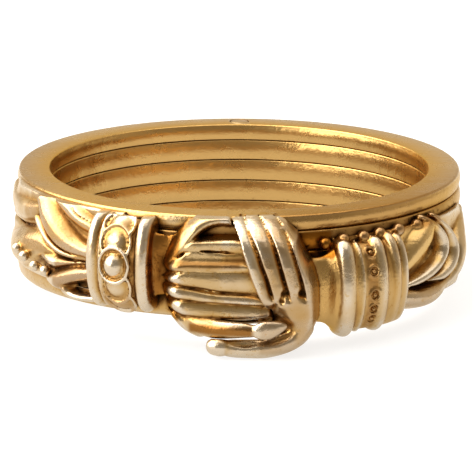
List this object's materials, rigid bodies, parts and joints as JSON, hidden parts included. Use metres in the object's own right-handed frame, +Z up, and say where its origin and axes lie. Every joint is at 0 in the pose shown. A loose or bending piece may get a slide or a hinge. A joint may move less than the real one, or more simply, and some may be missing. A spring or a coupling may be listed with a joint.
{
  "type": "gimmel ring",
  "caption": "Finger ring of slim stacked hoops that turn on one rivet and close as two clasped hands between scrolled, collared cuffs.",
  "frame": {"origin": "centre of the finger bore, halfway between the outer faces of the top and bottom hoops", "axes": "+Z up as the ring rests on its side, close to the finger bore's axis; -Y towards the hands; +X towards the right cuff"},
  "size_m": [0.022, 0.024, 0.0067],
  "materials": {
    "yellow_gold": "polished 18 ct yellow gold, softly worn, with dark tarnish left in the hollows",
    "rivet_gold": "18 ct gold rivet, filed flush"
  },
  "bodies": {
    "root": {"left_hand_hoop": "yellow_gold", "pivot_rivet": "rivet_gold"},
    "upper_middle": {"upper_middle_hoop": "yellow_gold"},
    "centre_middle": {"centre_middle_hoop": "yellow_gold"},
    "lower_middle": {"lower_middle_hoop": "yellow_gold"},
    "right_hand": {"right_hand_hoop": "yellow_gold"}
  },
  "joints": [
    {"name": "right_hand_swing", "type": "hinge", "parent": "root", "child": "right_hand", "pos_m": [0, 0.00988, -0.00068], "axis": [0, 0.0691, 0.9976], "range_deg": [0, 80]},
    {"name": "upper_middle_swing", "type": "hinge", "parent": "root", "child": "upper_middle", "pos_m": [0, 0.00988, -0.00068], "axis": [0, 0.0691, 0.9976], "range_deg": [0, 20]},
    {"name": "centre_middle_swing", "type": "hinge", "parent": "root", "child": "centre_middle", "pos_m": [0, 0.00988, -0.00068], "axis": [0, 0.0691, 0.9976], "range_deg": [0, 40]},
    {"name": "lower_middle_swing", "type": "hinge", "parent": "root", "child": "lower_middle", "pos_m": [0, 0.00988, -0.00068], "axis": [0, 0.0691, 0.9976], "range_deg": [0, 60]}
  ],
  "couplings": [
    {"joint": "upper_middle_swing", "follows": "right_hand_swing", "ratio": 0.25},
    {"joint": "centre_middle_swing", "follows": "right_hand_swing", "ratio": 0.5},
    {"joint": "lower_middle_swing", "follows": "right_hand_swing", "ratio": 0.75}
  ]
}
